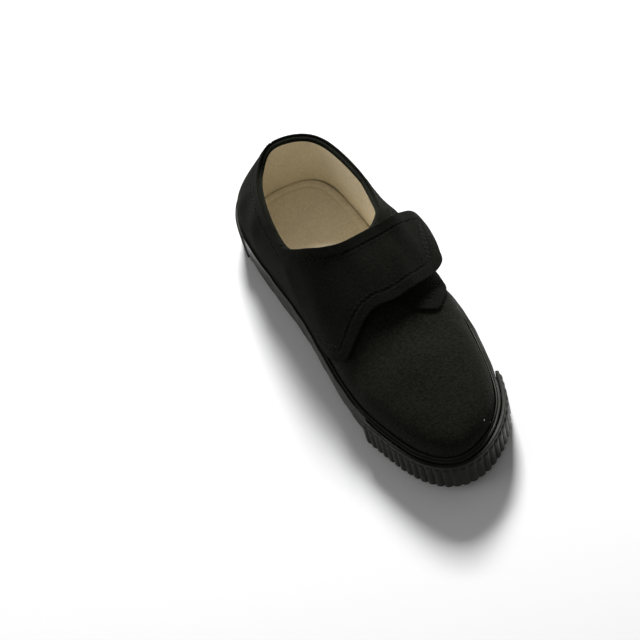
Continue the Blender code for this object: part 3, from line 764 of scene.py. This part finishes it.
def seam(cloth, column, start, stop):
    """Line down one of a panel's mesh columns, between two shares of its width."""
    rows = len(cloth.outer)
    part = slice(int(start * rows), int(stop * rows))
    return [cloth.outer[part, column], cloth.normal[part, column]]


def stitch_points(line, normal, pitch, radius):
    """Stitches along a line: each a spindle that rises from the cloth and dips into it at both ends."""
    run = running(line)
    count = int(run[-1] / pitch)
    start = (np.arange(count) + 0.15) * pitch
    part = np.linspace(0, 1, 8)
    where = start[:, None] + part * pitch * 0.74
    centre = np.stack([np.interp(where, run, column) for column in line.T], -1)
    up = np.stack([np.interp(where, run, column) for column in normal.T], -1)
    along = centre[:, -1:] - centre[:, :1]
    along = along / np.linalg.norm(along, axis=-1, keepdims=True)
    across = np.cross(along, up)
    bulge = np.sin(math.pi * part) ** 0.6
    centre = centre + up * ((bulge - 0.55) * radius * 1.5)[:, None]
    angle = np.linspace(0, 2 * math.pi, 7)[:-1]
    ring = (np.cos(angle)[:, None] * across[:, :, None] + np.sin(angle)[:, None] * up[:, :, None])
    points = centre[:, :, None] + ring * (radius * bulge)[None, :, None, None]
    quads = grid_quads(8, 6, closed=True)
    faces = (quads[None] + (np.arange(count) * 48)[:, None, None]).reshape(-1, 4)
    return points.reshape(-1, 3), faces


def add_stitches(name, lines, finish, slot, pitch, radius):
    """All the stitches of some lines as one piece."""
    points, faces, total = [], [], 0
    for line, normal in lines:
        more, quads = stitch_points(line, normal, pitch, radius)
        points.append(more)
        faces.append(quads + total)
        total += len(more)
    add_piece(name, np.concatenate(points), np.concatenate(faces), finish, [])


def rounded(section, thickness, height):
    """Section of a strip with round corners, as distances out and up and the share of the ribs.

    Each corner is a short parabola between the points one radius before and after it.
    """
    rows = np.array([(c.out * thickness, c.up * height, c.rib) for c in section])
    before, after = np.roll(rows, 1, 0), np.roll(rows, -1, 0)
    radius = np.array([c.radius for c in section])[:, None]

    def toward(other):
        way = other - rows
        return rows + way * np.minimum(radius / np.linalg.norm(way[:, :2], axis=1, keepdims=True), 0.45)
    share = np.linspace(0, 1, 6)[None, :, None]
    start, end = toward(before)[:, None], toward(after)[:, None]
    curve = (1 - share) ** 2 * start + 2 * share * (1 - share) * rows[:, None] + share ** 2 * end
    return curve.reshape(-1, 3)


def strip_rings(places, out, up, base):
    """Rings of a rubber strip: distances outwards and upwards, arrays of section by place."""
    foot, normal = OUTLINE(places), rim_normal(places)
    plan = foot + normal * (base + out)[..., None]
    return to_world(plan[..., 0], plan[..., 1], ground(foot[:, 1]) + FOXING_CLEARANCE + up)


def make_foxing(looks):
    """Rubber band: its rounded section carried round the outline, a little uneven as laid by hand.

    It is thickest at the lap's free end and thins over the lap's length.
    """
    places, length = rim_places(STRIP_COLUMNS, GAP, LAP_STATION, LAP_STATION + 2 * TIP)
    places[-1] = places[0] + (places[-1] - places[0]) * (1 - LAP_GAP / length)
    run = np.linspace(0, length, len(places))
    lap = LAP_STEP * np.clip(1 - run / LAP_LENGTH, 0, 1) ** 2
    section = rounded(FOXING_SECTION, FOXING_THICKNESS, FOXING_HEIGHT - FOXING_CLEARANCE)
    share = section[:, :1] / FOXING_THICKNESS
    turn = 2 * math.pi * run / length
    uneven = BAND_UNEVEN * (np.sin(9 * turn) + np.sin(23 * turn + 1) + 0.6 * np.sin(41 * turn + 2))
    out = share * (FOXING_THICKNESS + lap + uneven) + 0 * run
    wave = BAND_WAVE * (np.sin(7 * turn + 0.5) + np.sin(17 * turn + 2))
    up = section[:, 1:2] + wave * section[:, 1:2] / FOXING_HEIGHT
    rings = strip_rings(places, out, up, GAP)
    points = rings.reshape(-1, 3)
    quads = grid_quads(len(section) + 1, len(places), True) % len(points)
    add_piece("foxing_rubber", points, quads, rubber(looks), ["foxing"])


def make_bumper(looks):
    """Ribbed strip round the toe: rounded ribs with narrow grooves below a smooth lip, ends cut square."""
    base = 2 * GAP + FOXING_THICKNESS
    _, length = rim_places(2, base, BUMPER_LATERAL_END, BUMPER_MEDIAL_END)
    ribs = max(1, round(length / RIB_PITCH))
    # columns crowd at both ends, which are cut square
    first = np.array([0, 0, 0.0006, 0.0018])
    share = np.concatenate([first, np.linspace(0.004, 0.996, 12 * ribs), 1 - first[::-1]])
    fine, _ = rim_places(4000, base, BUMPER_LATERAL_END, BUMPER_MEDIAL_END)
    places = np.interp(share, np.linspace(0, 1, len(fine)), fine)
    crest = np.abs(np.sin(math.pi * share * ribs)) ** 0.55
    crest = crest * (1 + 0.06 * np.sin(share * ribs * 2.3)) / 1.06
    section = rounded(BUMPER_SECTION, BUMPER_THICKNESS, BUMPER_HEIGHT - FOXING_CLEARANCE)
    out = section[:, :1] + section[:, 2:] * RIB_DEPTH * crest
    up = section[:, 1:2] + 0 * share
    ends = edge_roll(np.minimum(share, 1 - share) * length, 0.5 * MM) * 0.25 + 0.75
    out = out * ends
    # the first and last columns shrink to a point and close the ends
    for column in (0, -1):
        out[:, column], up[:, column] = out[:, column].mean(), up[:, column].mean()
    rings = strip_rings(places, out, up, base)
    quads = grid_quads(len(section) + 1, len(share)) % (len(section) * len(share))
    add_piece("toe_bumper_rubber", rings.reshape(-1, 3), quads, rubber(looks), ["toe_bumper"])


def sole_grid(inset, columns, shares):
    """Grid inside the outline, from the medial to the lateral rim, in shoe coordinates."""
    stations = even_stations(columns)
    lateral, medial = [OUTLINE(places) - rim_normal(places) * inset
                       for places in (stations, 2 * TIP - stations)]
    return medial + (lateral - medial) * shares[:, None, None]


def rim_distance(plan, inset):
    """Distance of plan points to the rim moved inwards."""
    fine = np.linspace(0, 2 * TIP, 1600)
    line = OUTLINE(fine) - rim_normal(fine) * inset
    return distance_to(plan, line)


def make_outsole():
    """Sole sheet with a tread of lozenges cut into its underside inside a smooth rim.

    A groove runs wherever either of two crossed waves is near nought: the absolute sine of y plus or
    minus the slant times x. It starts inside the rim.
    """
    plan = sole_grid(0.0, SOLE_COLUMNS, close_shares(SOLE_ROWS))
    away = rim_distance(plan, 0.0)
    x, y = plan[..., 0], plan[..., 1]
    waves = [np.abs(np.sin(math.pi * (x * TREAD_SLANT + sign * y) / TREAD_PITCH)) for sign in (1, -1)]
    groove = 1 - smooth_step(np.minimum(waves[0], waves[1]) / TREAD_GROOVE)
    depth = TREAD_DEPTH * groove * smooth_step((away - TREAD_MARGIN) / (1 * MM))
    round_off = (1 - edge_roll(away, SOLE_EDGE)) * SOLE_EDGE
    low = ground(y) + depth + round_off
    high = ground(y) + OUTSOLE_THICKNESS - round_off
    edge = away < 1e-9
    low, high = [np.where(edge, ground(y) + OUTSOLE_THICKNESS / 2, face) for face in (low, high)]
    add_shell("outsole_tread", to_world(x, y, low), to_world(x, y, high), sole_rubber(),
              ["outsole"])


def make_footbed(looks):
    """Footbed: cotton over a thin pad, rounded at the rim, with a stitched line inside it."""
    inset = UPPER_WALL + FOOTBED_CLEARANCE
    plan = sole_grid(inset, FOOTBED_COLUMNS, close_shares(FOOTBED_ROWS))
    away = rim_distance(plan, inset)
    x, y = plan[..., 0], plan[..., 1]
    bottom = ground(y) + OUTSOLE_THICKNESS + GAP
    furrow = FOOTBED_FURROW * np.exp(-((away - FOOTBED_SEAM) / FOOTBED_FURROW_WIDTH) ** 2)
    soft = FOOTBED_SOFTNESS * (np.sin(130 * x + 60 * y) + np.sin(190 * y + 1))
    top = bottom + INSOLE_THICKNESS * (0.55 + 0.45 * edge_roll(away, 2.2 * MM)) - furrow + soft
    edge = away < 1e-9
    top = np.where(edge, bottom, top)
    points = to_world(x, y, top)
    add_shell("footbed", points, to_world(x, y, bottom), cotton(looks), ["insole"],
              cloth=cloth_map(points))


def add_node(tree, kind, links=(), **settings):
    """Shader node with its settings; a setting named as an input sets it, and links feed its inputs."""
    node = tree.nodes.new(kind)
    for name, value in settings.items():
        if hasattr(node, name):
            setattr(node, name, value)
        else:
            node.inputs[name.replace("_", " ")].default_value = value
    for socket, source in links:
        tree.links.new(source, node.inputs[socket])
    return node


def new_material(name):
    """Empty material with its output; returns it, its tree and a function that ends it with a shader."""
    made = bpy.data.materials.get(name)
    if made:
        return made, None, None
    made = bpy.data.materials.new(name)
    made.use_nodes = True
    tree = made.node_tree
    tree.nodes.clear()
    out = tree.nodes.new("ShaderNodeOutputMaterial")

    def end(shader):
        tree.links.new(shader.outputs[0], out.inputs["Surface"])
    return made, tree, end


def noise(tree, place, size, detail, roughness=0.5):
    """Noise of a size in the piece's own space."""
    return add_node(tree, "ShaderNodeTexNoise", [("Vector", place.outputs["Object"])], Scale=1 / size,
                    Detail=detail, Roughness=roughness)


def two_tones(tree, source, start, stop, dark, light):
    """Colour from dark to light between two values of a texture."""
    ramp = add_node(tree, "ShaderNodeValToRGB", [("Fac", source)])
    for element, position, colour in zip(ramp.color_ramp.elements, (start, stop), (dark, light)):
        element.position, element.color = position, (*colour, 1)
    return ramp.outputs["Color"]


def cloth_material(name, colour, darker, sheen, roughness, thread, nap):
    """Plain woven cotton: warp and weft waves on the cloth's own thread directions and a fine nap."""
    made, tree, end = new_material(name)
    if tree is None:
        return made
    threads = add_node(tree, "ShaderNodeUVMap", uv_map="cloth")
    place = add_node(tree, "ShaderNodeTexCoord")
    # a band repeats every 0.314 of a unit at scale 1
    bands = [add_node(tree, "ShaderNodeTexWave", [("Vector", threads.outputs["UV"])], bands_direction=way,
                      Scale=0.31416 / thread, Distortion=0.6, Detail=1.0) for way in ("X", "Y")]
    weave = add_node(tree, "ShaderNodeMath", [(0, bands[0].outputs["Fac"]), (1, bands[1].outputs["Fac"])],
                     operation="ADD")
    fluff = noise(tree, place, 1.3 * MM, 3.0, 0.6)
    wear = noise(tree, place, 14 * MM, 3.0, 0.6)
    mixed = add_node(tree, "ShaderNodeMix", [("A", fluff.outputs["Fac"]), ("B", wear.outputs["Fac"])],
                     Factor=0.2)
    tint = two_tones(tree, mixed.outputs["Result"], 0.36, 0.64, darker, colour)
    rough = add_node(tree, "ShaderNodeBump", [("Height", fluff.outputs["Fac"])], Strength=nap,
                     Distance=0.35 * MM)
    bump = add_node(tree, "ShaderNodeBump",
                    [("Height", weave.outputs[0]), ("Normal", rough.outputs["Normal"])],
                    Strength=0.35, Distance=0.12 * MM)
    end(add_node(tree, "ShaderNodeBsdfPrincipled",
                 [("Base Color", tint), ("Normal", bump.outputs["Normal"])],
                 Roughness=roughness, Sheen_Weight=sheen, Sheen_Roughness=0.45,
                 Sheen_Tint=(0.93, 1.0, 0.86, 1), IOR=1.45, Specular_IOR_Level=0.06))
    return made


def canvas(looks):
    """Black cotton canvas, plain woven and a little brushed: dull, with a soft olive bloom to the light."""
    colour = tuple(looks.canvas_colour)
    return cloth_material("black_cotton_canvas", colour, tuple(0.40 * c for c in colour), 0.03, 0.95,
                          0.9 * MM, 1.0)


def shaded_strap_canvas(looks):
    """The same canvas for the quarters and the strap: smoother, its colour darkened to a deeper black as
    painted shade.
    """
    # painted shade: the canvas's colour darkened to 0.58 for the quarters and the strap
    colour = tuple(0.58 * c for c in looks.canvas_colour)
    return cloth_material("cotton_canvas_painted_shade", colour, tuple(0.5 * c for c in colour), 0.02, 0.95,
                          0.9 * MM, 0.6)


def cotton(looks):
    """Unbleached cotton drill of the lining and footbed: pale, warm and matt."""
    colour = tuple(looks.lining_colour)
    return cloth_material("unbleached_cotton_lining", colour, tuple(0.86 * c for c in colour), 0.05, 0.9,
                          0.8 * MM, 0.25)


def grained(name, code, size, strength, depth, detail=2.0, cells=False, **shader):
    """Finish of one colour with a grain of noise, or of cells, that rises by a depth."""
    made, tree, end = new_material(name)
    if tree is None:
        return made
    place = add_node(tree, "ShaderNodeTexCoord")
    if cells:
        where = [("Vector", place.outputs["Object"])]
        height = add_node(tree, "ShaderNodeTexVoronoi", where, Scale=1 / size).outputs["Distance"]
    else:
        height = noise(tree, place, size, detail).outputs["Fac"]
    bump = add_node(tree, "ShaderNodeBump", [("Height", height)], Strength=strength, Distance=depth)
    end(add_node(tree, "ShaderNodeBsdfPrincipled", [("Normal", bump.outputs["Normal"])],
                 Base_Color=(*linear(code), 1), **shader))
    return made


def thread_finish():
    """Polyester sewing thread: a deeper black than the canvas, so that a row of stitches reads as a line."""
    return grained("black_polyester_thread", "#0D0D0B", 0.3 * MM, 0.4, 0.05 * MM, Roughness=0.6,
                   Specular_IOR_Level=0.15)


def lint_finish():
    """Cotton lint: grey-white fluff."""
    return grained("pale_cotton_lint", "#8F9088", 0.2 * MM, 0.8, 0.1 * MM, Roughness=1.0,
                   Specular_IOR_Level=0.1)


def sole_rubber():
    """Moulded sole rubber: the band's compound left dull by the mould."""
    return grained("moulded_sole_rubber", "#1C1C1A", 0.6 * MM, 0.3, 0.1 * MM, 3.0, Roughness=0.6, IOR=1.52,
                   Specular_IOR_Level=0.3)


def tape_finish():
    """Nylon hook and loop tape: black pile with a speckled gloss from its hooks."""
    return grained("nylon_hook_and_loop", "#141414", 0.9 * MM, 0.8, 0.4 * MM, cells=True, Roughness=0.5,
                   Sheen_Weight=0.3)


def rubber(looks):
    """Vulcanised natural rubber, rolled smooth: black with a soft gloss, slightly pitted and dusty."""
    made, tree, end = new_material("vulcanised_rubber")
    if tree is None:
        return made
    place = add_node(tree, "ShaderNodeTexCoord")
    pits = noise(tree, place, 0.9 * MM, 3.0, 0.6)
    smear = noise(tree, place, 11 * MM, 4.0, 0.65)
    gloss = add_node(tree, "ShaderNodeMapRange", [("Value", smear.outputs["Fac"])],
                     From_Min=0.3, From_Max=0.7, To_Min=0.26, To_Max=0.42)
    dusty = [1.5 * c + 0.001 for c in looks.rubber_colour]
    tint = two_tones(tree, smear.outputs["Fac"], 0.35, 0.75, looks.rubber_colour, dusty)
    bump = add_node(tree, "ShaderNodeBump", [("Height", pits.outputs["Fac"])], Strength=0.25,
                    Distance=0.12 * MM)
    end(add_node(tree, "ShaderNodeBsdfPrincipled",
                 [("Base Color", tint), ("Roughness", gloss.outputs["Result"]),
                  ("Normal", bump.outputs["Normal"])], IOR=1.52, Specular_IOR_Level=0.09))
    return made


class PLIMSOLL_OT_upper(Operator):
    """Makes the black canvas layer of the upper and the cotton lining inside it."""
    bl_idname = "plimsoll.upper"
    bl_label = "Upper and lining"

    def execute(self, context):
        looks = context.scene.plimsoll
        even = 1 - (1 - np.linspace(0, 1, UPPER_ROWS)) ** 1.3
        shares = np.concatenate([even[:-1], [0.985, 0.99, 0.994, 0.997, 0.999, 1]])

        def folds(points):
            return fold_heights(points, VAMP_CREASES) + slackness(points)
        rim = upper_grids(0.0, -CANVAS_THICKNESS, shares, folds, RIM_ROLL - CANVAS_THICKNESS)
        lining = upper_grids(-CANVAS_THICKNESS - LAYER_GAP, -UPPER_WALL, shares, folds,
                             lowered=RIM_TURN - LINING_TUCK)
        pole = Vector(last_point(TIP, 0.0))
        for name, finish, (outer, inner) in (("upper_canvas", canvas(looks), rim),
                                             ("upper_lining", cotton(looks), lining)):
            add_shell(name, outer, inner, finish, ["upper"], True, cloth_map(outer), pole)
        for name, fibre in LINT.items():
            station, across = np.linspace(*fibre, 6).T
            line = last_point(station, across), outward(station, across)
            add_stitches(name, [line], lint_finish(), "upper", running(line[0])[-1] * 0.999,
                         LINT_RADIUS)
        return {"FINISHED"}


class PLIMSOLL_OT_quarters(Operator):
    """Makes the lateral quarter and the medial quarter with its strap, and sews them."""
    bl_idname = "plimsoll.quarters"
    bl_label = "Quarters, strap and stitching"

    def execute(self, context):
        looks = context.scene.plimsoll
        finish = shaded_strap_canvas(looks)
        lateral = quarter_panel("lateral_quarter_canvas", 1, TAB, (REAR_COLUMNS, TAB_COLUMNS),
                                lambda places: np.full(places.shape[:-1], SEAT), finish,
                                "lateral_quarter", looks)
        medial = quarter_panel("medial_quarter_canvas", -1, STRAP, (REAR_COLUMNS, STRAP_COLUMNS),
                               strap_stand, finish, "medial_quarter_strap", looks)
        sewn = thread_finish(), "quarters", looks.stitch_pitch, looks.thread_radius
        add_stitches("hem_stitches", [contour(lateral, looks.hem_width), contour(medial, looks.hem_width),
                                      contour(medial, looks.hem_width + HEM_ROW_GAP, back_only=True)], *sewn)
        add_stitches("heel_seam_stitches", [seam(panel, 6, 0.05, 0.97) for panel in (lateral, medial)], *sewn)
        add_stitches("tack_stitches", [seam(lateral, lateral.free_start + step, 0.52, 0.93)
                                       for step in (-9, -3)], *sewn)
        return {"FINISHED"}


class PLIMSOLL_OT_fastening(Operator):
    """Finishes the two pads of hook and loop tape under the strap's end."""
    bl_idname = "plimsoll.fastening"
    bl_label = "Hook and loop tape"

    def execute(self, context):
        for name in ("loop_tape", "hook_tape"):
            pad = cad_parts[name]
            pad.data.materials.clear()
            pad.data.materials.append(tape_finish())
        return {"FINISHED"}


class PLIMSOLL_OT_rubber(Operator):
    """Makes the band round the sole and the ribbed strip round the toe."""
    bl_idname = "plimsoll.rubber"
    bl_label = "Foxing and toe bumper"

    def execute(self, context):
        make_foxing(context.scene.plimsoll)
        make_bumper(context.scene.plimsoll)
        return {"FINISHED"}


class PLIMSOLL_OT_soles(Operator):
    """Makes the outsole with its tread and the footbed."""
    bl_idname = "plimsoll.soles"
    bl_label = "Outsole and footbed"

    def execute(self, context):
        make_outsole()
        make_footbed(context.scene.plimsoll)
        return {"FINISHED"}


def camera_axes():
    """Right, up and back directions of the rolled camera."""
    level, rise = CAMERA_AZIMUTH, CAMERA_ELEVATION
    back = Vector((math.sin(level) * math.cos(rise), -math.cos(level) * math.cos(rise), math.sin(rise)))
    side = Vector((math.cos(level), math.sin(level), 0))
    up = back.cross(side)
    turn, lean = math.cos(CAMERA_ROLL), math.sin(CAMERA_ROLL)
    return side * turn + up * lean, up * turn - side * lean, back


def area_light(name, place, size, power):
    """Square soft light that faces the shoe."""
    data = bpy.data.lights.new(name, "AREA")
    data.size = size
    data.energy = power
    light = bpy.data.objects.new(name, data)
    light.location = place
    light.rotation_mode = "QUATERNION"
    light.rotation_quaternion = (CAMERA_AIM - Vector(place)).to_track_quat("-Z", "Y")
    bpy.context.scene.collection.objects.link(light)


class PLIMSOLL_OT_stage(Operator):
    """Lays the pale floor, lights the shoe and sets the camera at the photograph's angle."""
    bl_idname = "plimsoll.stage"
    bl_label = "Floor, lights and camera"

    def execute(self, context):
        looks, scene = context.scene.plimsoll, context.scene
        half = FLOOR_HALF
        mesh = bpy.data.meshes.new("floor")
        mesh.from_pydata([(-half, -half, 0), (half, -half, 0), (half, half, 0), (-half, half, 0)], [],
                         [(0, 1, 2, 3)])
        floor = bpy.data.objects.new("floor", mesh)
        scene.collection.objects.link(floor)
        paint, tree, end = new_material("matt_white_card")
        end(add_node(tree, "ShaderNodeBsdfPrincipled", Base_Color=(0.93, 0.93, 0.93, 1), Roughness=0.9,
                     Specular_IOR_Level=0.1))
        mesh.materials.append(paint)
        world = bpy.data.worlds.new("even_room")
        world.use_nodes = True
        room = world.node_tree.nodes["Background"]
        room.inputs["Color"].default_value = (1, 1, 1, 1)
        room.inputs["Strength"].default_value = looks.room_strength
        scene.world = world
        area_light("key", KEY_PLACE, KEY_SIZE, looks.key_power)
        area_light("side", SIDE_PLACE, SIDE_SIZE, looks.fill_power)
        data = bpy.data.cameras.new("camera")
        data.lens = CAMERA_LENS
        data.sensor_width = 36
        camera = bpy.data.objects.new("camera", data)
        right, up, back = camera_axes()
        camera.matrix_world = Matrix((right, up, back)).transposed().to_4x4()
        camera.location = (CAMERA_AIM + back * CAMERA_DISTANCE - right * CAMERA_SLIDE[0]
                           - up * CAMERA_SLIDE[1])
        scene.collection.objects.link(camera)
        scene.camera = camera
        scene.view_settings.view_transform = "Standard"
        return {"FINISHED"}


OPERATORS = (PLIMSOLL_OT_upper, PLIMSOLL_OT_quarters, PLIMSOLL_OT_fastening, PLIMSOLL_OT_rubber,
             PLIMSOLL_OT_soles, PLIMSOLL_OT_stage)


class PLIMSOLL_PT_looks(Panel):
    """Sidebar panel with the plimsoll's sizes, colours and pieces."""
    bl_label = "Plimsoll"
    bl_idname = "PLIMSOLL_PT_looks"
    bl_space_type = "VIEW_3D"
    bl_region_type = "UI"
    bl_category = "Plimsoll"

    def draw(self, context):
        for name in PlimsollLooks.__annotations__:
            self.layout.prop(context.scene.plimsoll, name)
        for made in OPERATORS:
            self.layout.operator(made.bl_idname)


CLASSES = (PlimsollLooks, *OPERATORS, PLIMSOLL_PT_looks)


def register():
    for made in CLASSES:
        bpy.utils.register_class(made)
    bpy.types.Scene.plimsoll = PointerProperty(type=PlimsollLooks)


def unregister():
    del bpy.types.Scene.plimsoll
    for made in reversed(CLASSES):
        bpy.utils.unregister_class(made)


def main():
    """Makes every piece in order."""
    register()
    bpy.ops.plimsoll.upper()
    bpy.ops.plimsoll.quarters()
    bpy.ops.plimsoll.fastening()
    bpy.ops.plimsoll.rubber()
    bpy.ops.plimsoll.soles()
    bpy.ops.plimsoll.stage()


if __name__ == "__main__":
    main()
